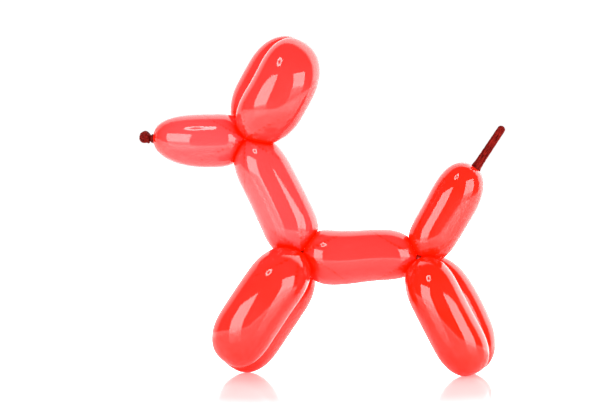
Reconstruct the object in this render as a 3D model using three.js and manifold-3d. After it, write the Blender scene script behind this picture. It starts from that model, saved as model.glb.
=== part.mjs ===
// Balloon poodle: one long red modelling balloon, twisted into ten bubbles.
//
// Millimetres. +X runs from the nose to the tail, +Y from the dog's left side to its right
// side, and +Z is up. The origin is on the floor, under the middle of the dog's outline.
//
// The balloon is a single skin, so the whole dog is one solid. From the knot to the tail it
// runs: snout, two ears, neck, two front legs, body, two hind legs, tail, and the last few
// centimetres that were never blown up. Every fold closes on a twist, and three of the
// twists lock the bubbles together: at the head, at the shoulder and at the hip.

import * as THREE from 'three';
import { mergeVertices } from 'three/addons/utils/BufferGeometryUtils.js';
import Module from 'manifold-3d';

// ---- Driving dimensions -------------------------------------------------------------

// The three twists that lock the dog together.
const HEAD = new THREE.Vector3(-67.7, 8.5, 212.8);
const SHOULDER = new THREE.Vector3(-16.5, 4.5, 108.5);
const HIP = new THREE.Vector3(90.0, 4.5, 104.8);

// The neck comes out of the head's twist a little to the dog's left.
const NECK_TOP = new THREE.Vector3(-67.7, 3.5, 212.8);

// The far ends of the bubbles that reach out from those twists. The front legs lean to the
// dog's left, so that its right front foot stands under the middle of the dog and its left
// front foot is just off the floor.
const NOSE = new THREE.Vector3(-154.2, 4.5, 214.1);
const EAR_TIP = new THREE.Vector3(-17.6, 8.5, 302.7);
const FRONT_FOOT = new THREE.Vector3(-82.2, -16.5, 8.2);
const HIND_FOOT = new THREE.Vector3(143.5, -0.3, 2.4);
const TAIL_TOP = new THREE.Vector3(137.9, 4.5, 188.7);

// The part of the tail that was never blown up: a limp latex tube with a round end.
const TUBE_ROOT = new THREE.Vector3(139.1, 4.5, 183.9);
const TUBE_END = new THREE.Vector3(163.5, 4.5, 220.8);
const TUBE_ROOT_RADIUS = 4.2;
const TUBE_END_RADIUS = 3.7;

// The tied nozzle in front of the nose: a round knot on a short pinched neck.
const KNOT_CENTRE = new THREE.Vector3(-161.6, 4.5, 214.8);
const KNOT_RADIUS = 5.7;
const KNOT_NECK_END = new THREE.Vector3(-151.7, 4.5, 213.2);
const KNOT_NECK_RADIUS = 3.1;
const KNOT_DIMPLE = 1.6;

// A pair of bubbles is pressed together, so each centre line is this share of the bubble's
// half-thickness away from the plane between them.
const PRESSED = 0.96;

// The skin between the two bubbles of a pair, where it is wrung into a thin cord. It lies
// this deep in the notch between their round ends, and runs this far into each of them.
const CORD_RADIUS = 2.5;
const CORD_DEPTH = 7.0;
const CORD_REACH = 10.0;

// How finely the round shapes are divided.
const BUBBLE_RINGS = 16;
const BUBBLE_SIDES = 24;
const SMALL_RINGS = 8;
const SMALL_SIDES = 16;

// ---- The bubbles --------------------------------------------------------------------

// Each bubble starts and ends on a twist. Its radius goes from radiusFrom to radiusTo, and
// each end closes in a rounded cap: capFrom and capTo are how long the caps are, and
// roundFrom and roundTo how blunt they are (2 is a true ellipse, more is blunter). The bow
// bends the middle of the bubble towards the dog's back, and the sway bends its two halves
// opposite ways.
const SINGLE_BUBBLES = [
  { // snout
    from: NOSE, to: HEAD, radiusFrom: 25.0, radiusTo: 25.0,
    capFrom: 53, capTo: 28, roundFrom: 2.4, roundTo: 2.3, bow: -1.9, sway: 0,
  },
  { // neck
    from: NECK_TOP, to: SHOULDER, radiusFrom: 24.8, radiusTo: 26.2,
    capFrom: 37, capTo: 32, roundFrom: 2.3, roundTo: 2.3, bow: 1.8, sway: 0,
  },
  { // body
    from: SHOULDER, to: HIP, radiusFrom: 26.0, radiusTo: 23.0,
    capFrom: 28, capTo: 34, roundFrom: 2.4, roundTo: 2.4, bow: -0.5, sway: -2.2,
  },
  { // tail
    from: HIP, to: TAIL_TOP, radiusFrom: 22.0, radiusTo: 23.2,
    capFrom: 28, capTo: 40, roundFrom: 2.4, roundTo: 2.5, bow: -0.9, sway: 0,
  },
];

// A pair is two bubbles side by side, folded back on each other. Its radius is measured in
// the plane of the pair, and its thickness across it. The turn swings the dog's right
// bubble of the pair towards the back, in degrees, and the spread bows the two apart. Each
// of the two is a barrel: its thickness falls towards its ends by up to the share barrel,
// before its caps close. At the lock twist and at the far end the centre lines keep the
// shares rootGap and tipGap of their distance, so the far twist lies in a notch between two
// round ends.
const PAIRS = [
  { // ears
    from: HEAD, to: EAR_TIP, radius: 28.8, halfThickness: 25.5,
    capFrom: 40, capTo: 40, roundFrom: 2.2, roundTo: 2.3,
    turn: 14, bow: -0.6, spread: 2.6, barrel: 0.24, rootGap: 0.5, tipGap: 0.7,
  },
  { // front legs
    from: SHOULDER, to: FRONT_FOOT, radius: 27.2, halfThickness: 25.5,
    capFrom: 40, capTo: 38, roundFrom: 2.2, roundTo: 2.4,
    turn: 8, bow: -0.6, spread: 0, barrel: 0.22, rootGap: 0.5, tipGap: 0.7,
  },
  { // hind legs
    from: HIP, to: HIND_FOOT, radius: 23.7, halfThickness: 24.0,
    capFrom: 38, capTo: 36, roundFrom: 2.3, roundTo: 2.4,
    turn: 4, bow: 3.0, spread: 3.4, barrel: 0.18, rootGap: 0.5, tipGap: 0.7,
  },
];

const LEFT = -1;
const MIDDLE = 0;
const RIGHT = 1;

// ---- Shapes -------------------------------------------------------------------------

// A smooth step from 0 to 1 as t goes from 0 to 1.
function smooth(t) {
  return t * t * (3 - 2 * t);
}

// The share of its full radius that a bubble has at a distance from its end: a
// superellipse quarter over the cap's length, and 1 beyond it.
function capShare(distance, cap, roundness) {
  const inwards = Math.min(Math.max(1 - distance / cap, 0), 1);
  return Math.max(1 - inwards ** roundness, 0) ** (1 / roundness);
}

// A body of revolution about the Y axis through [radius, height] points, from the lowest
// to the highest.
function turned(points, sides) {
  const profile = points.map(([radius, height]) => new THREE.Vector2(radius, height));
  return new THREE.LatheGeometry(profile, sides);
}

// Moves every vertex of a geometry by a function that changes the vector it is given.
function reshape(geometry, move) {
  const position = geometry.attributes.position;
  const vertex = new THREE.Vector3();
  for (let i = 0; i < position.count; i += 1) {
    vertex.fromBufferAttribute(position, i);
    move(vertex);
    position.setXYZ(i, vertex.x, vertex.y, vertex.z);
  }
  return geometry;
}

// Three square directions for a bubble: along it, across it towards the dog's right, and
// square to both, towards the dog's back. The turn rolls the last two about the first.
function directions(from, to, turn) {
  const along = to.clone().sub(from).normalize();
  const level = new THREE.Vector3(0, 1, 0);
  level.addScaledVector(along, -level.dot(along)).normalize();
  const across = level.clone().applyAxisAngle(along, THREE.MathUtils.degToRad(turn));
  const back = along.clone().cross(across);
  return { along, across, back };
}

// One bubble: a turned shape with capped ends, flattened to its thickness, bowed, and
// moved to its side of the pair.
function bubble(spec, side, bow) {
  const length = spec.from.distanceTo(spec.to);
  const { along, across, back } = directions(spec.from, spec.to, spec.turn ?? 0);
  const radiusAt = (t) => THREE.MathUtils.lerp(spec.radiusFrom, spec.radiusTo, smooth(t));
  const flatnessAt = (t) => spec.flatness * (1 - spec.barrel * (2 * t - 1) ** 2);
  const capsAt = (height) => capShare(height, spec.capFrom, spec.roundFrom)
    * capShare(length - height, spec.capTo, spec.roundTo);

  const points = [];
  for (let i = 0; i <= BUBBLE_RINGS; i += 1) {
    const height = (length * (1 - Math.cos((Math.PI * i) / BUBBLE_RINGS))) / 2;
    points.push([radiusAt(height / length) * capsAt(height), height]);
  }
  points[0][0] = 0;
  points[BUBBLE_RINGS][0] = 0;

  return reshape(turned(points, BUBBLE_SIDES), (v) => {
    const t = v.y / length;
    const gap = THREE.MathUtils.lerp(spec.rootGap, spec.tipGap, smooth(t));
    const apart = gap + (1 - gap) * capsAt(v.y);
    const aside = side * PRESSED * radiusAt(t) * flatnessAt(t) * apart;
    const bend = bow * Math.sin(Math.PI * t) + spec.sway * Math.sin(2 * Math.PI * t);
    const backwards = v.x + bend;
    const sideways = v.z * flatnessAt(t) + aside;
    v.copy(spec.from).addScaledVector(along, t * length);
    v.addScaledVector(back, backwards).addScaledVector(across, sideways);
  });
}

// A bubble on its own, in the middle plane of the dog.
function singleBubble(single) {
  const spec = {
    ...single, flatness: 1, barrel: 0, rootGap: 0, tipGap: 0,
  };
  return bubble(spec, MIDDLE, single.bow);
}

// Two bubbles side by side, and the wrung cord of skin in the notch between their ends.
function bubblePair(pair) {
  const spec = {
    ...pair, radiusFrom: pair.radius, radiusTo: pair.radius,
    flatness: pair.halfThickness / pair.radius, sway: 0,
  };
  const left = bubble(spec, LEFT, pair.bow - pair.spread);
  const right = bubble(spec, RIGHT, pair.bow + pair.spread);
  return [left, right, notchCord(pair)];
}

// The cord that crosses from one bubble of a pair to the other, thick at both ends.
function notchCord(pair) {
  const { along, across } = directions(pair.from, pair.to, pair.turn);
  const centre = pair.to.clone().addScaledVector(along, -CORD_DEPTH);
  const points = [[0, -CORD_REACH]];
  for (let i = 0; i <= SMALL_RINGS; i += 1) {
    const t = (2 * i) / SMALL_RINGS - 1;
    points.push([CORD_RADIUS * (1 + t * t), t * CORD_REACH]);
  }
  points.push([0, CORD_REACH]);
  const stand = new THREE.Quaternion().setFromUnitVectors(new THREE.Vector3(0, 1, 0), across);
  return turned(points, SMALL_SIDES).applyQuaternion(stand).translate(...centre);
}

// Stands a turned shape, made along +Y from its own origin, on a point and aims it.
function aim(geometry, start, end) {
  const direction = end.clone().sub(start).normalize();
  const stand = new THREE.Quaternion().setFromUnitVectors(new THREE.Vector3(0, 1, 0), direction);
  return geometry.applyQuaternion(stand).translate(...start);
}

// The uninflated tube: a slim cone with a half-round end.
function tailTube() {
  const length = TUBE_ROOT.distanceTo(TUBE_END);
  const points = [[0, 0], [TUBE_ROOT_RADIUS, 0]];
  for (let i = 0; i < SMALL_RINGS; i += 1) {
    const angle = (Math.PI / 2) * (i / SMALL_RINGS);
    points.push([TUBE_END_RADIUS * Math.cos(angle), length + TUBE_END_RADIUS * Math.sin(angle)]);
  }
  points.push([0, length + TUBE_END_RADIUS]);
  return aim(turned(points, SMALL_SIDES), TUBE_ROOT, TUBE_END);
}

// The knot: a ball with a shallow dimple where the nozzle opens, on a pinched neck that
// runs into the nose.
function knot() {
  const reach = KNOT_CENTRE.distanceTo(KNOT_NECK_END);
  const neckAngle = Math.asin(KNOT_NECK_RADIUS / KNOT_RADIUS);
  const lipAngle = Math.PI / 8;
  const points = [[0, KNOT_DIMPLE - KNOT_RADIUS]];
  for (let i = 0; i <= SMALL_RINGS; i += 1) {
    const angle = THREE.MathUtils.lerp(lipAngle, Math.PI - neckAngle, i / SMALL_RINGS);
    points.push([KNOT_RADIUS * Math.sin(angle), -KNOT_RADIUS * Math.cos(angle)]);
  }
  points.push([KNOT_NECK_RADIUS, reach]);
  points.push([0, reach]);
  return aim(turned(points, SMALL_SIDES), KNOT_CENTRE, KNOT_NECK_END);
}

// ---- Solids -------------------------------------------------------------------------

const wasm = await Module();
wasm.setup();

// A closed mesh as a solid that can be joined and cut.
function toSolid(geometry) {
  geometry.deleteAttribute('normal');
  geometry.deleteAttribute('uv');
  const merged = mergeVertices(geometry, 1e-4);
  const vertProperties = new Float32Array(merged.attributes.position.array);
  const triVerts = new Uint32Array(merged.index.array);
  return new wasm.Manifold(new wasm.Mesh({ numProp: 3, vertProperties, triVerts }));
}

// A solid as a geometry that a mesh can show.
function toGeometry(solid) {
  const { vertProperties, triVerts } = solid.getMesh();
  const geometry = new THREE.BufferGeometry();
  geometry.setAttribute('position', new THREE.BufferAttribute(vertProperties, 3));
  geometry.setIndex(new THREE.BufferAttribute(triVerts, 1));
  geometry.computeVertexNormals();
  return geometry;
}

// Everything below the floor, as a slab. Three of the feet reach about a third of a
// millimetre into it, and so get the small flats that they are pressed to by standing.
function belowFloor() {
  const width = 500;
  const depth = 20;
  return new THREE.BoxGeometry(width, width, depth).translate(0, 0, -depth / 2);
}

const shapes = [
  ...SINGLE_BUBBLES.map(singleBubble),
  ...PAIRS.flatMap(bubblePair),
  tailTube(),
  knot(),
];
const skin = shapes.map(toSolid).reduce((whole, shape) => whole.add(shape));
const standing = skin.subtract(toSolid(belowFloor()));

// ---- The part -----------------------------------------------------------------------

const latex = new THREE.MeshStandardMaterial({ color: 0xe8201c, roughness: 0.12, metalness: 0 });

const balloon = new THREE.Mesh(toGeometry(standing), latex);
balloon.name = 'twisted_balloon';

const group = new THREE.Group();
group.add(balloon);

export default group;
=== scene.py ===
# %% [markdown]
# # Balloon poodle
#
# One long red modelling balloon, twisted into ten bubbles: snout, two ears, neck, two front
# legs, body, two hind legs and tail. It is tied off at the nose, and the last few
# centimetres of the tail were never blown up.
#
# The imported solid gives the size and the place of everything. This script builds the thin,
# pressed, shiny skin around it. Everything is in metres, with +X from the nose to the tail,
# +Y from the dog's left side to its right, and +Z up.

# %% The fixed frame
import math

import bpy
import numpy as np
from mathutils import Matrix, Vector


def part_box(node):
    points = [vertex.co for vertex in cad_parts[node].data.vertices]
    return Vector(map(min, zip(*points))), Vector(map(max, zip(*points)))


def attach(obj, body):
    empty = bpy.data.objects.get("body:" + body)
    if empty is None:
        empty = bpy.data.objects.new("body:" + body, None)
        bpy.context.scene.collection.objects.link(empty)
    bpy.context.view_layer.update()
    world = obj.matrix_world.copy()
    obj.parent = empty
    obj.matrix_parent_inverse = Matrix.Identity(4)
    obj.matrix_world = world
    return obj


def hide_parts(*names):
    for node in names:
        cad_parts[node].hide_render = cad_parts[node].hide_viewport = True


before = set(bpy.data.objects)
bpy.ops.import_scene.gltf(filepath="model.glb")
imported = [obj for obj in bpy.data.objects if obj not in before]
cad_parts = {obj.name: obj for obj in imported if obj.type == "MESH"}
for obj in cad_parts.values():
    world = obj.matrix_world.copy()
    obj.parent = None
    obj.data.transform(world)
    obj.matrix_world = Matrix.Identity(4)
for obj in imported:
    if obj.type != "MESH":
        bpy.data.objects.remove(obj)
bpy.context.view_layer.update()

box_low, box_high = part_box("twisted_balloon")
print("the solid is", [round(side, 4) for side in box_high - box_low], "m")

# %% [markdown]
# ## The camera
#
# A small thing is best drawn from far off with a long lens, which keeps the near and the
# far leg the same size. The camera stands level, a little above the middle of the dog, and
# a few degrees round towards the tail, so that the far ear and the far legs just show.

# %% Camera
CAMERA_DISTANCE = 1.9
CAMERA_TURN = math.radians(6.0)
CAMERA_HEIGHT = 0.160
AIM = Vector((-0.0133, 0.0045, 0.155))
LENS_TO_WIDTH = 3.4116
SENSOR_WIDTH = 36.0

camera_data = bpy.data.cameras.new("camera")
camera_data.sensor_width = SENSOR_WIDTH
camera_data.lens = LENS_TO_WIDTH * SENSOR_WIDTH
camera = bpy.data.objects.new("camera", camera_data)
bpy.context.scene.collection.objects.link(camera)
towards_camera = Vector((math.sin(CAMERA_TURN), -math.cos(CAMERA_TURN), 0.0))
camera.location = AIM + towards_camera * CAMERA_DISTANCE
camera.location.z = CAMERA_HEIGHT
camera.rotation_euler = (AIM - camera.location).to_track_quat("-Z", "Y").to_euler()
bpy.context.scene.camera = camera
print("the lens is", round(camera_data.lens, 1), "mm on a", SENSOR_WIDTH, "mm sensor")

# %% [markdown]
# ## The plan of the dog
#
# A twister makes the dog by measuring bubbles off one long balloon and locking them
# together at three twists. So the plan is short: where the three locks are, where the free
# ends are, and how fat each bubble is. The neck leaves the head's lock on one side of the
# ears, so it has a top of its own. The numbers are in millimetres, as the twister would
# measure them, and `MM` turns them into metres.

# %% Twists and free ends
MM = 0.001


def place(x, y, z):
    """A point given in millimetres, as an array in metres."""
    return np.array((x, y, z)) * MM


HEAD = place(-67.7, 8.5, 212.8)
NECK_TOP = place(-67.7, 3.5, 212.8)
SHOULDER = place(-16.5, 4.5, 108.5)
HIP = place(90.0, 4.5, 104.8)
NOSE = place(-154.2, 4.5, 214.1)
EAR_TIP = place(-17.6, 8.5, 302.7)
FRONT_FOOT = place(-82.2, -16.5, 8.2)
HIND_FOOT = place(143.5, -0.3, 2.4)
TAIL_TOP = place(137.9, 4.5, 188.7)
TUBE_EXIT = place(142.0, 4.5, 188.3)
KNOT_NECK_END = place(-151.7, 4.5, 213.2)

# %% [markdown]
# ## One bubble
#
# A blown-up bubble is a sausage: a straight middle with two domed ends. Its radius is one
# number along most of its length and closes to nothing at each twist by a superellipse,
# which is a circle's formula with a higher power, so it looks blunter than a half-ball.
# The centre line may bow, because the skin on one side of a folded bubble is shorter.
#
# A class keeps the numbers of one bubble together with the two things that can be asked of
# it: where its skin is, and how deep a point lies inside it. The second is what lets the
# bubbles press on each other later.

# %% The bubble class
PRESSED = 0.96
CORE = 0.8
SLOPE_STEP = 0.2 * MM


def smooth(t):
    """A step from 0 to 1 with level ends: three t squared less two t cubed."""
    return t * t * (3 - 2 * t)


def eased(ends, t):
    """A value that goes from the first of two to the second by the smooth step."""
    return ends[0] + (ends[1] - ends[0]) * smooth(t)


def cap_share(distance, cap, power):
    """The share of its full radius that a bubble has at a distance from its end: one less
    the power of how far the point is into the cap, all to the power's root."""
    inwards = np.clip(1 - distance / cap, 0, 1)
    return np.maximum(1 - inwards**power, 0) ** (1 / power)


def unit(vector):
    """The vector at length one."""
    return vector / np.linalg.norm(vector, axis=-1, keepdims=True)


class Bubble:
    """A bubble between two points, in metres, with its radii, caps and bend."""

    def __init__(self, name, start, end, radii, caps, powers, bow=0.0, sway=0.0,
                 turn=0.0, flatness=1.0, barrel=0.0, side=0, gaps=(0.0, 0.0)):
        self.name, self.start, self.end = name, start, end
        self.radii = np.array(radii) * MM
        self.caps = np.array(caps) * MM
        self.powers = powers
        self.bow, self.sway = bow * MM, sway * MM
        self.flatness, self.barrel = flatness, barrel
        self.side, self.gaps = side, gaps
        self.length = np.linalg.norm(end - start)
        self.along = unit(end - start)
        level = np.array((0.0, 1.0, 0.0))
        level = unit(level - self.along * (level @ self.along))
        tilt = math.radians(turn)
        upright = np.cross(self.along, level)
        self.across = level * math.cos(tilt) + upright * math.sin(tilt)
        self.back = np.cross(self.along, self.across)

    def share(self, height):
        """A height as a share of the length, kept between 0 and 1."""
        return np.clip(height / self.length, 0, 1)

    def ends(self, height):
        """The share of the full radius that the two caps leave at a height."""
        first = cap_share(height, self.caps[0], self.powers[0])
        last = cap_share(self.length - height, self.caps[1], self.powers[1])
        return first * last

    def radius(self, height):
        """Radius at a height along the bubble: the full radius, eased from one end's value
        to the other's, times the share that each cap leaves."""
        return eased(self.radii, self.share(height)) * self.ends(height)

    def flat(self, height):
        """The thickness across a pair as a share of the radius. A barrel is thickest in
        its middle, so the share falls with the square of the distance from there."""
        return self.flatness * (1 - self.barrel * (2 * self.share(height) - 1) ** 2)

    def bend(self, height):
        """How far the centre line is pushed to the dog's back: a half wave for the bow
        and a whole wave for the sway."""
        t = self.share(height)
        return self.bow * np.sin(np.pi * t) + self.sway * np.sin(2 * np.pi * t)

    def aside(self, height):
        """How far the centre line of one of a pair is off the plane between the two. It is
        nearly the bubble's half thickness, and less where the caps draw in."""
        t = self.share(height)
        gap = eased(self.gaps, t)
        apart = gap + (1 - gap) * self.ends(height)
        return self.side * PRESSED * eased(self.radii, t) * self.flat(height) * apart

    def centre(self, height):
        """The point of the centre line at a height."""
        height = np.asarray(height)[..., None]
        return (self.start + self.along * height + self.back * self.bend(height)
                + self.across * self.aside(height))

    def skin(self, rings, sides):
        """The skin as a grid of points: rings closer together towards the ends, each a
        circle of the bubble's radius about its centre line, flattened by its flatness."""
        t = (1 - np.cos(np.linspace(0, np.pi, rings))) / 2
        height = (t * self.length)[:, None]
        angle = np.linspace(0, 2 * np.pi, sides, endpoint=False)[None, :]
        radius = self.radius(height)
        outwards = (self.back * np.cos(angle)[..., None]
                    - self.across * (self.flat(height) * np.sin(angle))[..., None])
        return self.centre(height) + radius[..., None] * outwards

    def depth(self, points):
        """How deep points lie inside the bubble: its radius there less their distance from
        the centre line, divided by the slope of the skin. Below zero is outside."""
        from_start = points - self.start
        height = from_start @ self.along
        backwards = from_start @ self.back - self.bend(height)
        sideways = (from_start @ self.across - self.aside(height)) / self.flat(height)
        rise = self.radius(height + SLOPE_STEP) - self.radius(height - SLOPE_STEP)
        slope = rise / (2 * SLOPE_STEP)
        distance = np.hypot(backwards, sideways)
        return (self.radius(height) - distance) / np.sqrt(1 + slope**2)

    def inwards(self, points):
        """Unit vectors from points of the skin to the bubble's core, which is the middle
        stretch of its centre line."""
        height = (points - self.start) @ self.along
        core = np.clip(height, CORE * self.caps[0], self.length - CORE * self.caps[1])
        return unit(self.centre(core) - points)


print("a bubble of a pair is", PRESSED, "of its half thickness off the plane between them")

# %% [markdown]
# ## The ten bubbles
#
# Four bubbles lie in the dog's middle plane. The other six are pairs, folded back on each
# other and locked at one end, so both of a pair come from the same numbers. The turn rolls
# a pair about its length, and the spread bows its two bubbles apart, because no twister
# gets both legs perfectly level.

# %% All bubbles by name
LEFT, RIGHT = -1, 1
PAIR_GAPS = (0.5, 0.7)


def pair(name, start, end, radius, half_thickness, caps, powers, turn, bow, spread, barrel):
    """The left and the right bubble of a pair."""
    both = []
    for word, side in (("left", LEFT), ("right", RIGHT)):
        both.append(Bubble(
            f"{word}_{name}", start, end, (radius, radius), caps, powers,
            bow=bow + side * spread, turn=turn, flatness=half_thickness / radius,
            barrel=barrel, side=side, gaps=PAIR_GAPS))
    return both


bubbles = [
    Bubble("snout", NOSE, HEAD, radii=(25.0, 25.0), caps=(53, 28), powers=(2.4, 2.3),
           bow=-1.9),
    Bubble("neck", NECK_TOP, SHOULDER, radii=(24.8, 26.2), caps=(37, 32), powers=(2.3, 2.3),
           bow=1.8),
    Bubble("body", SHOULDER, HIP, radii=(26.0, 23.0), caps=(28, 34), powers=(2.4, 2.4),
           bow=-0.5, sway=-2.2),
    Bubble("tail", HIP, TAIL_TOP, radii=(22.0, 23.2), caps=(28, 40), powers=(2.4, 2.5),
           bow=-0.9),
    *pair("ear", HEAD, EAR_TIP, radius=28.8, half_thickness=25.5, caps=(40, 40),
          powers=(2.2, 2.3), turn=14, bow=-0.6, spread=2.6, barrel=0.24),
    *pair("front_leg", SHOULDER, FRONT_FOOT, radius=27.2, half_thickness=25.5, caps=(40, 38),
          powers=(2.2, 2.4), turn=8, bow=-0.6, spread=0, barrel=0.22),
    *pair("hind_leg", HIP, HIND_FOOT, radius=23.7, half_thickness=24.0, caps=(38, 36),
          powers=(2.3, 2.4), turn=4, bow=3.0, spread=3.4, barrel=0.18),
]
for bubble in bubbles:
    print(f"{bubble.name:16} {bubble.length / MM:6.1f} mm long")

# %% [markdown]
# ## Pressing the bubbles together
#
# Where two soft bubbles meet, neither runs into the other: both give way, and they share a
# flat wall that ends in a sharp groove. The overlap is shared out evenly. Each point of the
# skin is pushed towards its own bubble's core until it is as deep in its own bubble as it
# is in the neighbour, which is the same place that the neighbour's skin ends up.
#
# A plain "push if overlapping" would leave a hard fold, so the overlap goes through a soft
# ramp, the logarithm of one plus an exponential, which is zero well outside, the overlap
# itself well inside, and a small curve between.

# %% Pressing
SOFTNESS = 0.8 * MM
AIR = -0.1 * MM
DRAWN_IN = 0.3 * MM
ROUNDS = 14


def pressed_in(bubble, points, others):
    """Points of a bubble's skin, pushed to its core until the depth in the bubble itself is
    the soft ramp of the greatest depth in any other bubble plus a hair's breadth of air.
    Each round takes the mean of the last push and the new depth. In the end the free skin is
    drawn in a little too, because the round skin bulges past the solid's flat facets."""
    inwards = bubble.inwards(points)
    push = np.zeros(points.shape[:-1])
    for _ in range(ROUNDS):
        moved = points + inwards * push[..., None]
        overlap = np.max([other.depth(moved) for other in others], axis=0) + AIR
        soft = SOFTNESS * np.logaddexp(0, overlap / SOFTNESS)
        push = (push + soft) / 2
    return points + inwards * np.hypot(push, DRAWN_IN)[..., None]


# %% [markdown]
# ## Gathers, the stretch of the skin and its painted shade
#
# At a twist the whole tube of skin is wrung down to a cord, so it comes out of the twist in
# small pleats that smooth out within a centimetre. A cosine round the twist's axis makes
# the pleats, and an exponential of the distance makes them die away.
#
# The colour of the skin follows its stretch and some painted shade, so every point of the mesh
# keeps three marks that the latex material reads. Slack goes from 0, blown up, to 1, never
# blown up. Thin says how far the whole bubble was blown: a balloon fills from its nozzle, so
# the snout is stretched most and is the palest. The pairs are also drawn a deeper red, as
# painted shade for the light that the skin behind them holds back. Fold is 1 at a twist, where
# the skin lies thick and the red is deepest, and in a crease between two bubbles, where its
# deeper red is painted shade; it fades from there. Where it is high, the material also paints
# a faint glow.

# %% Gathers
PLEATS = 18
PLEAT_DEPTH = 0.9 * MM
PLEAT_REACH = 5.5 * MM
PLEAT_HINT = (0.3, 0.9, 0.2)
NOTCH_DEPTH = 7.0 * MM
NOTCH_HALF = 8.0 * MM
CONTACT_REACH = 3.0 * MM
# How pale each bubble is: partly how far it was blown, and for the pairs partly painted shade,
# as less light comes through them from behind.
THINNESS_AND_SHADE = {"snout": 1.05, "neck": 0.8, "ear": 0.45, "body": 0.5, "front_leg": 0.2,
            "tail": 0.1, "hind_leg": 0.05}

# The radius of the tube that comes out, the most slack, and how far slack and fold reach.
TWIST_SKIN = (0.0, 0.35, 5.0 * MM, 7.0 * MM)
NOZZLE_SKIN = (4.6 * MM, 1.0, 1.5 * MM, 9.0 * MM)
TUBE_SKIN = (3.8 * MM, 1.0, 1.6 * MM, 0.5 * MM)


def square_to(axis, hint):
    """Two unit vectors square to an axis and to each other. The hint is any direction that
    doesn't lie along the axis."""
    first = unit(np.cross(axis, hint))
    return first, np.cross(axis, first)


def kind_of(bubble):
    """The bubble's name without its side."""
    return bubble.name.split("_", 1)[-1]


def twists_of(bubble):
    """The two gathered places of a bubble: each one's point, its axis, and its skin."""
    at_start = (bubble.start, bubble.along, TWIST_SKIN)
    at_end = (bubble.end, bubble.along, TWIST_SKIN)
    if bubble.name == "snout":
        at_start = (KNOT_NECK_END, bubble.along, NOZZLE_SKIN)
    if bubble.name == "tail":
        at_end = (TUBE_EXIT, bubble.along, TUBE_SKIN)
    if bubble.side:
        notch = (bubble.end - bubble.along * NOTCH_DEPTH
                 + bubble.across * bubble.side * NOTCH_HALF)
        at_end = (notch, bubble.across, TWIST_SKIN)
    return at_start, at_end


def gathered(bubble, points, others):
    """Points of a bubble's skin with the pleats pressed into them, and their marks. A pleat
    is a cosine of the angle about the twist's axis, and it fades with the exponential of
    the distance from the twist. The fold mark fades the same way, from the twists and from
    the creases where the bubble touches others that are not its own partner."""
    inwards = bubble.inwards(points)
    slack, push = np.zeros((2, *points.shape[:-1]))
    # In a crease where the bubble touches a stranger, the fold mark is painted shade: the
    # material deepens the red there and paints a faint glow.
    strangers = [other for other in others if kind_of(other) != kind_of(bubble)]
    gap = -np.max([other.depth(points) for other in strangers], axis=0)
    fold = np.exp(-np.maximum(gap, 0) / CONTACT_REACH)
    for centre, axis, (tube, most, slack_reach, fold_reach) in twists_of(bubble):
        from_twist = points - centre
        distance = np.maximum(np.linalg.norm(from_twist, axis=-1) - tube, 0)
        first, second = square_to(axis, PLEAT_HINT)
        angle = np.arctan2(from_twist @ second, from_twist @ first)
        wave = 0.5 + 0.5 * np.cos(PLEATS * angle + 2 * np.sin(3 * angle))
        near = np.exp(-distance / PLEAT_REACH) * smooth(np.clip(distance / PLEAT_REACH, 0, 1))
        push += PLEAT_DEPTH * wave * near
        slack = np.maximum(slack, most * np.exp(-distance / slack_reach))
        fold = np.maximum(fold, np.exp(-distance / fold_reach))
    thin = np.full_like(fold, THINNESS_AND_SHADE[kind_of(bubble)])
    return points + inwards * push[..., None], np.stack((slack, thin, fold), axis=-1)


print(PLEATS, "pleats, up to", round(PLEAT_DEPTH / MM, 1), "mm deep")

# %% [markdown]
# ## From grids to a mesh
#
# Nearly every shape here is a grid of rings whose first and last ring have shrunk to a
# point. One pole replaces each of the two, and a fan of triangles closes the end. All the
# shapes go into one mesh, because the balloon is one skin.

# %% Collecting closed skins
FILM, SLACK = 0, 1
MARKS = ("slack", "thin", "fold")
all_points, all_marks, all_faces, all_finishes = [], [], [], []


def add_points(points, marks, faces, finish):
    """Adds points with their marks, and faces that all have one finish."""
    all_points.append(points)
    all_marks.append(marks)
    all_faces.extend(faces.tolist())
    all_finishes.extend([finish] * len(faces))


def with_poles(values):
    """A grid's values in one row, with the first and last ring each as one mean value."""
    inner = values[1:-1].reshape(-1, values.shape[-1])
    return np.concatenate((inner, (values[0].mean(axis=0), values[-1].mean(axis=0))))


def add_skin(grid, marks, finish=FILM):
    """Adds a grid of rings as a closed skin, its first and last ring each as one pole. The
    marks are a grid too, or one set for all of it."""
    rings, sides = grid.shape[:2]
    marks = np.broadcast_to(marks, (rings, sides, len(MARKS)))
    base = sum(len(part) for part in all_points)
    index = base + np.arange((rings - 2) * sides).reshape(rings - 2, sides)
    after = np.roll(index, -1, axis=1)
    quads = np.stack((index[:-1], after[:-1], after[1:], index[1:]), axis=-1)
    first_pole = base + (rings - 2) * sides
    last_pole = first_pole + 1
    start_fan = np.stack((after[0], index[0], np.full(sides, first_pole)), axis=-1)
    end_fan = np.stack((index[-1], after[-1], np.full(sides, last_pole)), axis=-1)
    add_points(with_poles(grid), with_poles(marks), quads.reshape(-1, 4), finish)
    for fan in (start_fan, end_fan):
        all_faces.extend(fan.tolist())
        all_finishes.extend([finish] * sides)


# %% The ten bubble skins
RINGS, SIDES = 88, 84
NEAR_FLOOR = 10 * MM
FLOOR_SOFTNESS = 0.05 * MM


def stood_on_floor(points):
    """Points kept above the floor by a soft ramp of their height."""
    points = points.copy()
    low = points[..., 2] < NEAR_FLOOR
    points[low, 2] = FLOOR_SOFTNESS * np.logaddexp(0, points[low, 2] / FLOOR_SOFTNESS)
    return points


for bubble in bubbles:
    others = [other for other in bubbles if other is not bubble]
    points = pressed_in(bubble, bubble.skin(RINGS, SIDES), others)
    points, marks = gathered(bubble, points, others)
    add_skin(stood_on_floor(points), marks)
print(len(bubbles), "bubbles,", len(all_faces), "faces")

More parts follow.
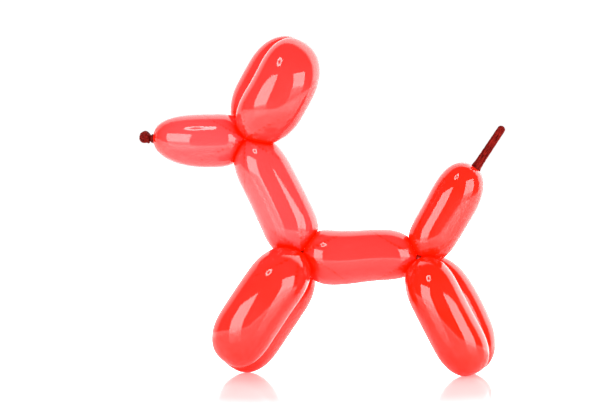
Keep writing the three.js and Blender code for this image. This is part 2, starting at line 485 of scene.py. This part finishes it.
# %% [markdown]
# ## Shapes turned about an axis
#
# The knot, the tail's end and the wrung cords are all round about an axis of their own, so
# one helper turns them: a profile of heights and radii is carried round the axis, and a
# small ripple function dents it for folds and wrinkles. A second helper makes a ring, for
# the rolled rim and the loop of the knot.

# %% Turning helper


def turned(start, end, heights, radii, sides, ripple):
    """A grid of rings about the line from start to end. The ring at each height has its
    radius times one plus the ripple of the angle and the height."""
    along = unit(end - start)
    first, second = square_to(along, (0.0, 1.0, 0.1))
    angle = np.linspace(0, 2 * np.pi, sides, endpoint=False)[None, :]
    height = np.asarray(heights)[:, None]
    radius = np.asarray(radii)[:, None] * (1 + ripple(angle, height))
    outwards = first * np.cos(angle)[..., None] + second * np.sin(angle)[..., None]
    return start + along * height[..., None] + outwards * radius[..., None]


def looped(centre, axis, radius, thickness, steps, sides):
    """A ring of round section about an axis, as a grid that closes on itself both ways: a
    circle of the thickness, carried round a circle of the radius."""
    first, second = square_to(axis, (0.2, 0.1, 1.0))
    round_axis = np.linspace(0, 2 * np.pi, steps, endpoint=False)[:, None]
    round_tube = np.linspace(0, 2 * np.pi, sides, endpoint=False)[None, :]
    reach = radius + thickness * np.cos(round_tube)
    outwards = first * np.cos(round_axis)[..., None] + second * np.sin(round_axis)[..., None]
    rise = (thickness * np.sin(round_tube))[..., None] * axis
    return centre + outwards * reach[..., None] + rise


ALL_SLACK = (1.0, 0.0, 0.0)


def add_loop(grid):
    """Adds a grid of slack skin that closes on itself both ways."""
    rows, columns = grid.shape[:2]
    base = sum(len(part) for part in all_points)
    index = base + np.arange(rows * columns).reshape(rows, columns)
    right = np.roll(index, -1, axis=1)
    down = np.roll(index, -1, axis=0)
    corner = np.roll(right, -1, axis=0)
    quads = np.stack((index, down, corner, right), axis=-1).reshape(-1, 4)
    marks = np.tile(ALL_SLACK, (rows * columns, 1))
    add_points(grid.reshape(-1, 3), marks, quads, SLACK)


# %% [markdown]
# ## The wrung cords
#
# Between the two bubbles of a pair the skin is twisted several times into a cord as thick
# as a drinking straw, deep in the notch between their ends. Its strands run round it like
# the strands of a rope, so the ripple's angle turns with the height. The cord widens to
# both ends, where it opens out into the bubbles.

# %% Cords in the three notches
CORD_RADIUS = 2.4 * MM
CORD_WAIST = 0.85
CORD_REACH = 9.0 * MM
CORD_STRANDS = 5
CORD_TURNS = 1.5
STRAND_DEPTH = 0.14
CORD_RINGS, CORD_SIDES = 31, 30
# The cords carry the full fold mark, so they also take the painted glow of the folds.
CORD_MARKS = (0.45, 0.0, 1.0)


def strands(angle, height):
    """A dent that winds round the cord: the cosine of the strands times the angle, which
    itself grows with the height."""
    wound = angle + 2 * np.pi * CORD_TURNS * height / (2 * CORD_REACH)
    return STRAND_DEPTH * np.cos(CORD_STRANDS * wound)


share = np.linspace(-1, 1, CORD_RINGS)
cord_radii = CORD_RADIUS * (CORD_WAIST + share**2)
cord_radii[[0, -1]] = 0
for bubble in bubbles:
    if bubble.side == RIGHT:
        middle = bubble.end - bubble.along * NOTCH_DEPTH
        cord_start = middle - bubble.across * CORD_REACH
        cord = turned(cord_start, middle, (share + 1) * CORD_REACH, cord_radii, CORD_SIDES,
                      strands)
        add_skin(cord, CORD_MARKS)
print("cords of", round(2 * CORD_RADIUS / MM, 1), "mm in the three notches")

# %% [markdown]
# ## The locks
#
# A lock is such a cord seen from its end: all the bubbles that meet there are wound round
# each other, and a little of the wrung skin shows in the middle. It is made as a long egg
# across the dog. At the head it is not wound as tight, so it stays as red as the bubbles,
# and at the shoulder and the hip it is nearly as dark as the knot. The head's lock carries
# the full fold mark, so it also takes the deepest red of the folds and their painted glow.

# %% Wrung skin in the three locks
LOCK_RADIUS = 3.7 * MM
LOCK_REACH = 15.0 * MM
LOOSE_GLOWING_MARKS = (0.0, 0.0, 1.0)
TIGHT_MARKS = (0.9, 0.0, 0.2)

lock_radii = LOCK_RADIUS * np.sqrt(1 - share**2)
to_side = np.array((0.0, LOCK_REACH, 0.0))
for lock, marks in ((HEAD, LOOSE_GLOWING_MARKS), (SHOULDER, TIGHT_MARKS), (HIP, TIGHT_MARKS)):
    wrung = turned(lock - to_side, lock, (share + 1) * LOCK_REACH, lock_radii, CORD_SIDES,
                   strands)
    add_skin(wrung, marks)
print("locks", round(2 * LOCK_RADIUS / MM, 1), "mm thick")

# %% [markdown]
# ## The tied knot
#
# The nozzle is pulled through a loop of itself. What shows is a small hard ball of dark
# latex that was never stretched, with the rolled rim of the nozzle in front, the loop round
# its waist, and a pinched neck that flares into the nose. The ball is turned with a dent in
# front, and two rings make the rolled rim and the loop.

# %% Knot
KNOT_CENTRE = place(-161.6, 4.5, 214.8)
KNOT_RADIUS = 5.4 * MM
KNOT_FRONT, KNOT_BACK = math.radians(10), math.radians(150)
KNOT_DENT = 0.62
BALL_RINGS, NECK_RINGS, KNOT_SIDES = 34, 16, 48
KNOT_NECK_RADIUS = 3.8 * MM
KNOT_FLARE = 4.9 * MM
KNOT_NECK_REACH = 10.0 * MM


def knot_folds(angle, height):
    """Uneven folds round the knot: two cosines of the angle that also turn with height."""
    turn = height / KNOT_RADIUS
    return 0.07 * np.cos(5 * angle + 1.3 * turn) + 0.04 * np.cos(11 * angle - 2.1 * turn)


around = np.linspace(KNOT_FRONT, KNOT_BACK, BALL_RINGS)
ball_heights = -KNOT_RADIUS * np.cos(around)
ball_radii = KNOT_RADIUS * np.sin(around)
neck_share = np.linspace(0, 1, NECK_RINGS)[1:]
neck_heights = ball_heights[-1] + (KNOT_NECK_REACH - ball_heights[-1]) * neck_share
flare = KNOT_NECK_RADIUS + (KNOT_FLARE - KNOT_NECK_RADIUS) * neck_share**3
neck_radii = eased((ball_radii[-1], flare), np.clip(3 * neck_share, 0, 1))
knot_heights = np.concatenate((
    [-KNOT_DENT * KNOT_RADIUS], ball_heights, neck_heights, [KNOT_NECK_REACH]))
knot_radii = np.concatenate(([0.0], ball_radii, neck_radii, [0.0]))
knot = turned(KNOT_CENTRE, KNOT_NECK_END, knot_heights, knot_radii, KNOT_SIDES, knot_folds)
add_skin(knot, ALL_SLACK, SLACK)
print("knot", round(2 * KNOT_RADIUS / MM, 1), "mm across")

# %% The knot's rolled rim and loop
RIM_RADIUS, RIM_FORWARD = 0.52 * KNOT_RADIUS, 0.72 * KNOT_RADIUS
RIM_THICKNESS, RIM_STEPS, RIM_SIDES = 0.95 * MM, 48, 14
LOOP_RADIUS, LOOP_BACK = 0.76 * KNOT_RADIUS, 0.35 * KNOT_RADIUS
LOOP_THICKNESS, LOOP_STEPS, LOOP_SIDES = 1.5 * MM, 56, 16
LOOP_LEAN = np.array((0.0, 0.25, 0.45))

knot_axis = unit(KNOT_NECK_END - KNOT_CENTRE)
rim_centre = KNOT_CENTRE - knot_axis * RIM_FORWARD
add_loop(looped(rim_centre, knot_axis, RIM_RADIUS, RIM_THICKNESS, RIM_STEPS, RIM_SIDES))
loop_centre = KNOT_CENTRE + knot_axis * LOOP_BACK
loop_axis = unit(knot_axis + LOOP_LEAN)
add_loop(looped(loop_centre, loop_axis, LOOP_RADIUS, LOOP_THICKNESS, LOOP_STEPS,
                LOOP_SIDES))
print("rim", round(2 * RIM_RADIUS / MM, 1), "mm and loop", round(2 * LOOP_RADIUS / MM, 1), "mm")

# %% [markdown]
# ## The end of the tail
#
# The last of the balloon was left empty, so it is still the thin dark tube that the whole
# balloon was before it was blown up. It flares where it joins the tail bubble, closes in a
# round end, and is very slightly wrinkled along and across.

# %% Tail tube
TUBE_ROOT = place(139.1, 4.5, 183.9)
TUBE_END = place(163.5, 4.5, 220.8)
TUBE_RADII = (3.85 * MM, 3.5 * MM)
TUBE_COLLAR = 2.2 * MM
COLLAR_REACH = 3.0 * MM
TUBE_RINGS, DOME_RINGS, TUBE_SIDES = 90, 14, 40
WRINKLE_LENGTH = 0.9 * MM
WRINKLE_WANDER = 6 * MM


def limp_wrinkles(angle, height):
    """A slightly oval tube with faint cross wrinkles: a cosine of twice the angle, and a
    wave of the height whose place wanders with the angle."""
    wander = 1.6 * np.cos(angle + height / WRINKLE_WANDER)
    return 0.05 * np.cos(2 * angle + 0.6) + 0.018 * np.sin(height / WRINKLE_LENGTH + wander)


tube_length = np.linalg.norm(TUBE_END - TUBE_ROOT)
straight = np.linspace(0, 1, TUBE_RINGS)
taper = TUBE_RADII[0] + (TUBE_RADII[1] - TUBE_RADII[0]) * straight
collar = TUBE_COLLAR * np.exp(-straight * tube_length / COLLAR_REACH)
dome = np.linspace(0, np.pi / 2, DOME_RINGS)[1:]
tube_heights = np.concatenate((
    [0.0], straight * tube_length, tube_length + TUBE_RADII[1] * np.sin(dome)))
tube_radii = np.concatenate(([0.0], taper + collar, TUBE_RADII[1] * np.cos(dome)))
tube = turned(TUBE_ROOT, TUBE_END, tube_heights, tube_radii, TUBE_SIDES, limp_wrinkles)
add_skin(tube, ALL_SLACK, SLACK)
print("tail tube", round(tube_length / MM, 1), "mm long")

# %% [markdown]
# ## One skin
#
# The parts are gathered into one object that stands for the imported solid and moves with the
# only body. It carries the three marks of every point as attributes, and each face knows
# which of the two kinds of latex it is.

# %% The balloon's object
points = np.concatenate(all_points)
skin_mesh = bpy.data.meshes.new("balloon_skin")
skin_mesh.from_pydata(points, [], all_faces)
skin_mesh.update()
skin_mesh.polygons.foreach_set("use_smooth", np.ones(len(all_faces), bool))
skin_mesh.polygons.foreach_set("material_index", np.array(all_finishes))
for name, values in zip(MARKS, np.concatenate(all_marks).T):
    layer = skin_mesh.attributes.new(name, "FLOAT", "POINT")
    layer.data.foreach_set("value", values.astype(np.float32))
balloon = bpy.data.objects.new("balloon_skin", skin_mesh)
bpy.context.scene.collection.objects.link(balloon)
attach(balloon, "root")
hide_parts("twisted_balloon")
triangles = sum(len(face) - 2 for face in all_faces)
print("balloon_skin:", len(points), "points,", triangles, "triangles")

# %% [markdown]
# ## Shader maths as expressions
#
# A material is worked out with plus, minus and times. A small class wraps a node's output,
# and each operator adds the node that does it, so the recipe reads like arithmetic.

# %% Node helpers


class Value:
    """An output socket that can be used in arithmetic."""

    def __init__(self, tree, socket):
        self.tree, self.socket = tree, socket

    def math(self, operation, *others):
        """A Math node on this value and the others."""
        return self.tree.add("ShaderNodeMath", {"operation": operation},
                             dict(enumerate((self, *others))))

    def __add__(self, other):
        return self.math("ADD", other)

    def __sub__(self, other):
        return self.math("SUBTRACT", other)

    def __mul__(self, other):
        return self.math("MULTIPLY", other)

    def __rsub__(self, other):
        return self.tree.add("ShaderNodeMath", {"operation": "SUBTRACT"}, {0: other, 1: self})

    __radd__ = __add__
    __rmul__ = __mul__


class Tree:
    """The nodes of one material, lamp or world."""

    def __init__(self, owner):
        owner.use_nodes = True
        self.nodes, self.links = owner.node_tree.nodes, owner.node_tree.links
        self.nodes.clear()

    def add(self, kind, settings=None, inputs=None, output=0):
        """Adds a node of a kind with its settings, sets or links its inputs, and returns
        one of its outputs."""
        node = self.nodes.new(kind)
        for name, value in (settings or {}).items():
            setattr(node, name, value)
        for name, value in (inputs or {}).items():
            if isinstance(value, Value):
                self.links.new(value.socket, node.inputs[name])
            else:
                node.inputs[name].default_value = value
        return Value(self, node.outputs[output])

    def finish(self, shader, kind="ShaderNodeOutputMaterial"):
        """Joins a shader to the tree's output."""
        output = self.nodes.new(kind)
        self.links.new(shader.socket, output.inputs["Surface"])

    def mix(self, share, first, second):
        """A colour between two colours."""
        return self.add("ShaderNodeMix", {"data_type": "RGBA"},
                        {"Factor": share, 6: first, 7: second}, output=2)

    def step(self, value, low, high, start=0.0):
        """A smooth step of a value, from the start at low to 1 at high."""
        return self.add("ShaderNodeMapRange", {"interpolation_type": "SMOOTHSTEP"}, {
            "Value": value, "From Min": low, "From Max": high, "To Min": start})

    def vector(self, operation, first, second):
        """One number worked out from two vectors, such as their dot product."""
        return self.add("ShaderNodeVectorMath", {"operation": operation},
                        {0: first, 1: second}, output="Value")

    def mark(self, name):
        """One of the marks that the mesh carries."""
        return self.add("ShaderNodeAttribute", {"attribute_name": name}, output="Fac")

    def noise(self, place, scale, detail, roughness):
        """A smooth noise around one half, with about this many waves to the metre."""
        return self.add("ShaderNodeTexNoise", None, {
            "Vector": place, "Scale": scale, "Detail": detail, "Roughness": roughness})

    def bump(self, height, strength):
        """A bump from a height in metres."""
        return self.add("ShaderNodeBump", None, {
            "Height": height, "Strength": strength, "Distance": 1.0})


# %% [markdown]
# ## Blown-up latex
#
# Blown-up latex is a clear, very glossy red film. Light comes through it from behind and
# from inside, so it glows, and its surface mirrors the studio like varnish. It could be a
# thin shell of red glass with the light really bouncing inside, but that is slow and grainy
# to draw. Here a glossy red surface is mixed with some light from behind, and its red
# follows the marks: paler where the skin is thin, deeper in the pairs and in the creases
# between bubbles as painted shade, deep at the twists, dark where it is slack.
#
# A faint glow in the folds stands for the light that is caught between the bubbles. A large,
# soft noise varies the film's thickness, a fine one gives the slack parts their dry grain,
# and a very faint bump stops the mirror images from looking machined.

# %% Blown-up latex
PALE_RED = (0.92, 0.070, 0.074, 1.0)
DEEP_RED = (0.92, 0.016, 0.003, 1.0)
WRUNG_RED = (0.16, 0.003, 0.001, 1.0)
THROUGH_RED = (0.92, 0.024, 0.014, 1.0)
INNER_GLOW = (0.90, 0.012, 0.0, 1.0)
GLOW_STRENGTH = 0.9
BLACK = (0.0, 0.0, 0.0, 1.0)
FILM_IOR = 1.576
CLOUD_SCALE, GRAIN_SCALE = 26.0, 700.0
CLOUD_DEPTH, GRAIN_DEPTH = 0.3 * MM, 0.2 * MM
CLOUD_PALES, FOLD_DEEPENS = 0.35, 1.6
FILM_ROUGHNESS, CLOUD_DULLS, SLACK_DULLS, GRAIN_DULLS = 0.045, 0.03, 0.2, 0.25
THROUGH_FILM, THROUGH_LOST, THROUGH_FOLDS = 0.2, 0.15, 0.45

film = bpy.data.materials.new("blown_latex")
tree = Tree(film)
on_skin = tree.add("ShaderNodeTexCoord", output="Object")
slack, thin, fold = tree.mark("slack"), tree.mark("thin"), tree.mark("fold")
cloud = tree.noise(on_skin, CLOUD_SCALE, 3.0, 0.5)
grain = tree.noise(on_skin, GRAIN_SCALE, 3.0, 0.6)
# The red paints shade as well as stretch: the low thin values of the pairs and the fold mark in
# the creases deepen it as painted shade.
stretch_and_shade = thin + (cloud - 0.5) * CLOUD_PALES - fold * FOLD_DEEPENS
red = tree.mix(stretch_and_shade, DEEP_RED, PALE_RED)
# Deep is high in the folds and creases. There the film paints a faint glow and lets more light
# through from behind.
deep = fold * (1 - slack)
bump = tree.bump(cloud * CLOUD_DEPTH + grain * slack * GRAIN_DEPTH, strength=0.5)
roughness = FILM_ROUGHNESS + cloud * CLOUD_DULLS + slack * (SLACK_DULLS + grain * GRAIN_DULLS)
surface = tree.add("ShaderNodeBsdfPrincipled", None, {
    "Base Color": tree.mix(slack, red, WRUNG_RED), "Roughness": roughness,
    "Normal": bump, "IOR": FILM_IOR,
    "Emission Color": tree.mix(deep, BLACK, INNER_GLOW), "Emission Strength": GLOW_STRENGTH})
light_through = tree.add("ShaderNodeBsdfTranslucent", None,
                         {"Color": THROUGH_RED, "Normal": bump})
share_through = THROUGH_FILM - slack * THROUGH_LOST + deep * THROUGH_FOLDS
tree.finish(tree.add("ShaderNodeMixShader", None,
                     {0: share_through, 1: surface, 2: light_through}))
skin_mesh.materials.append(film)
print("blown_latex:", len(tree.nodes), "nodes")

# %% [markdown]
# ## Slack latex
#
# Latex that was never blown up, in the knot and in the tail's end, is several times as thick
# as the film. It lets no light through, so it is a dark red, and it is dull and mottled from
# the powder that the balloon is packed in. The mottling on the tail runs lengthwise, so most
# of the way along the tube is taken out of the noise's place, which draws the pattern out
# in that direction.

# %% Slack latex
TUBE_RED = (0.30, 0.013, 0.008, 1.0)
FOLD_RED = (0.03, 0.0, 0.0005, 1.0)
STREAK = 0.82
MOTTLE_SCALE, POWDER_SCALE = 900.0, 1800.0
MOTTLE_DEPTH, POWDER_DEPTH = 0.4 * MM, 0.1 * MM
MOTTLE_FLOOR, MOTTLE_CONTRAST = 0.3, 2.2
DULL_ROUGHNESS, POWDER_DULLS = 0.34, 0.2
RUBBER_IOR, RUBBER_SHINE = 1.5, 0.02

dull = bpy.data.materials.new("slack_latex")
tree = Tree(dull)
on_skin = tree.add("ShaderNodeTexCoord", output="Object")
tube_way = tuple(unit(TUBE_END - TUBE_ROOT))
along_tube = tree.vector("DOT_PRODUCT", on_skin, tube_way)
squeezed = tree.add("ShaderNodeVectorMath", {"operation": "SCALE"},
                    {0: tube_way, "Scale": along_tube * STREAK})
streaked = tree.add("ShaderNodeVectorMath", {"operation": "SUBTRACT"},
                    {0: on_skin, 1: squeezed})
mottle = tree.noise(streaked, MOTTLE_SCALE, 2.0, 0.5)
powder = tree.noise(on_skin, POWDER_SCALE, 2.0, 0.6)
bump = tree.bump(mottle * MOTTLE_DEPTH + powder * POWDER_DEPTH, strength=0.6)
tree.finish(tree.add("ShaderNodeBsdfPrincipled", None, {
    "Base Color": tree.mix((mottle - MOTTLE_FLOOR) * MOTTLE_CONTRAST, FOLD_RED, TUBE_RED),
    "Roughness": DULL_ROUGHNESS + powder * POWDER_DULLS, "Normal": bump,
    "IOR": RUBBER_IOR, "Specular IOR Level": RUBBER_SHINE}))
skin_mesh.materials.append(dull)
print("slack_latex:", len(tree.nodes), "nodes")

# %% [markdown]
# ## The table
#
# A wide sheet of glossy white plastic. It mirrors the feet faintly because its gloss grows
# towards grazing angles. Lamps under it make it glow a little way off from the dog, which
# lights the undersides of the bubbles. The glowing pane ends half a metre in front of the
# dog, and is cut off slantwise at the right, so the bubbles mirror its edge as a faint
# line. The eye still sees clean white out to the horizon.

# %% Floor
FLOOR_HALF = 12.0
GLOW_FROM, GLOW_FULL = 0.22, 0.45
GLOW_UNDER_DOG = 0.12
PANE_EDGES = (((0.0, 1.0, 0.0), -0.52), ((-0.63, 0.78, 0.0), -0.54))
PANE_FADE = 0.08
PANE_LIGHT = 1.2
UNLIT_PLASTIC = (0.2, 0.2, 0.2, 1.0)
LIT_PLASTIC = (0.9, 0.9, 0.9, 1.0)
PLASTIC_ROUGHNESS, PLASTIC_IOR = 0.08, 1.5
WHITE = (1.0, 1.0, 1.0, 1.0)

floor_mesh = bpy.data.meshes.new("floor")
corners = [(-FLOOR_HALF, -FLOOR_HALF, 0), (FLOOR_HALF, -FLOOR_HALF, 0),
           (FLOOR_HALF, FLOOR_HALF, 0), (-FLOOR_HALF, FLOOR_HALF, 0)]
floor_mesh.from_pydata(corners, [], [(0, 1, 2, 3)])
floor = bpy.data.objects.new("floor", floor_mesh)
bpy.context.scene.collection.objects.link(floor)

plastic = bpy.data.materials.new("white_plastic")
tree = Tree(plastic)
on_floor = tree.add("ShaderNodeTexCoord", output="Object")
from_dog = tree.vector("DISTANCE", on_floor, (0.0, 0.0, 0.0))
lit = tree.step(from_dog, GLOW_FROM, GLOW_FULL, GLOW_UNDER_DOG)
inside = 1.0
for inwards, edge in PANE_EDGES:
    past = tree.vector("DOT_PRODUCT", on_floor, inwards)
    inside = inside * tree.step(past, edge - PANE_FADE, edge + PANE_FADE)
seen = tree.add("ShaderNodeLightPath", output="Is Camera Ray")
pane = lit * (seen + inside * (1 - seen))
tree.finish(tree.add("ShaderNodeBsdfPrincipled", None, {
    "Base Color": tree.mix(inside, UNLIT_PLASTIC, LIT_PLASTIC),
    "Roughness": PLASTIC_ROUGHNESS, "IOR": PLASTIC_IOR, "Emission Strength": PANE_LIGHT,
    "Emission Color": tree.mix(pane, BLACK, WHITE)}))
floor_mesh.materials.append(plastic)
print("table", 2 * FLOOR_HALF, "m square, white_plastic:", len(tree.nodes), "nodes")

# %% [markdown]
# ## The sweep and the room
#
# The studio is a white sweep behind the dog, lit harder than white, and a dark room in
# front. The sweep lights the latex from behind and paints the pale rims. It could be a
# curved sheet with lamps of its own, but a world whose brightness depends on the direction
# does the same with nothing to trip over. The eye sees it as plain white.

# %% World
SWEEP_LIGHT = 2.9
SWEEP_RIGHT = 1.7
SWEEP_FROM, SWEEP_FULL = 0.14, 0.34
ROOM_LIGHT = 0.12
SEEN_WHITE = 1.05

world = bpy.data.worlds.new("studio")
bpy.context.scene.world = world
tree = Tree(world)
direction = tree.add("ShaderNodeTexCoord", output="Generated")
rightwards = tree.add("ShaderNodeSeparateXYZ", None, {0: direction}, output="X")
backwards = tree.add("ShaderNodeSeparateXYZ", None, {0: direction}, output="Y")
behind = tree.step(backwards, SWEEP_FROM, SWEEP_FULL)
sweep = behind * (SWEEP_LIGHT + rightwards * SWEEP_RIGHT) + ROOM_LIGHT
seen = tree.add("ShaderNodeLightPath", output="Is Camera Ray")
level = sweep * (1 - seen) + seen * SEEN_WHITE
background = tree.add("ShaderNodeBackground", None, {"Color": WHITE, "Strength": level})
tree.finish(background, "ShaderNodeOutputWorld")
print("sweep", SWEEP_LIGHT, "and room", ROOM_LIGHT)

# %% [markdown]
# ## The lamps
#
# Two tall softboxes, to the left and to the right of the camera, are the two bright panes in
# every bubble. Overhead hangs a dish lamp with a dark middle, which every bubble mirrors as
# a tiny ring. A softbox is an area lamp, and the dish's dark middle comes from a smooth step
# of the distance from its centre.

# %% Softboxes and dish


def softbox(name, turn, height, distance, width, tall, radiance, shape="RECTANGLE"):
    """A lamp at an angle round from the camera and an angle up, aimed at the dog. Its power
    is its radiance times its area times pi."""
    data = bpy.data.lights.new(name, "AREA")
    data.shape = shape
    data.size, data.size_y = width, tall
    data.energy = radiance * width * tall * math.pi
    lamp = bpy.data.objects.new(name, data)
    bpy.context.scene.collection.objects.link(lamp)
    angle = CAMERA_TURN + math.radians(turn)
    rise = math.radians(height)
    out = Vector((math.sin(angle) * math.cos(rise), -math.cos(angle) * math.cos(rise),
                  math.sin(rise)))
    lamp.location = Vector((box_low + box_high) / 2) + out * distance
    lamp.rotation_euler = (-out).to_track_quat("-Z", "Y").to_euler()
    return lamp


softbox("left_softbox", turn=-42, height=10, distance=1.6, width=1.02, tall=0.98,
        radiance=7.2)
softbox("right_softbox", turn=47, height=9, distance=1.6, width=1.02, tall=0.98,
        radiance=7.2)
dish = softbox("overhead_dish", turn=-28, height=52, distance=1.6, width=0.44, tall=0.52,
               radiance=9.0, shape="ELLIPSE")

# %% The dish's dark middle
DISH_CENTRE = (0.5, 0.5, 0.0)
RING_FROM, RING_FULL = 0.15, 0.35

tree = Tree(dish.data)
on_dish = tree.add("ShaderNodeNewGeometry", output="Parametric")
ring = tree.step(tree.vector("DISTANCE", on_dish, DISH_CENTRE), RING_FROM, RING_FULL)
tree.finish(tree.add("ShaderNodeEmission", None, {"Color": tree.mix(ring, BLACK, WHITE)}),
            "ShaderNodeOutputLight")
bpy.context.scene.view_settings.view_transform = "Standard"
print("lamps:", len(bpy.data.lights))
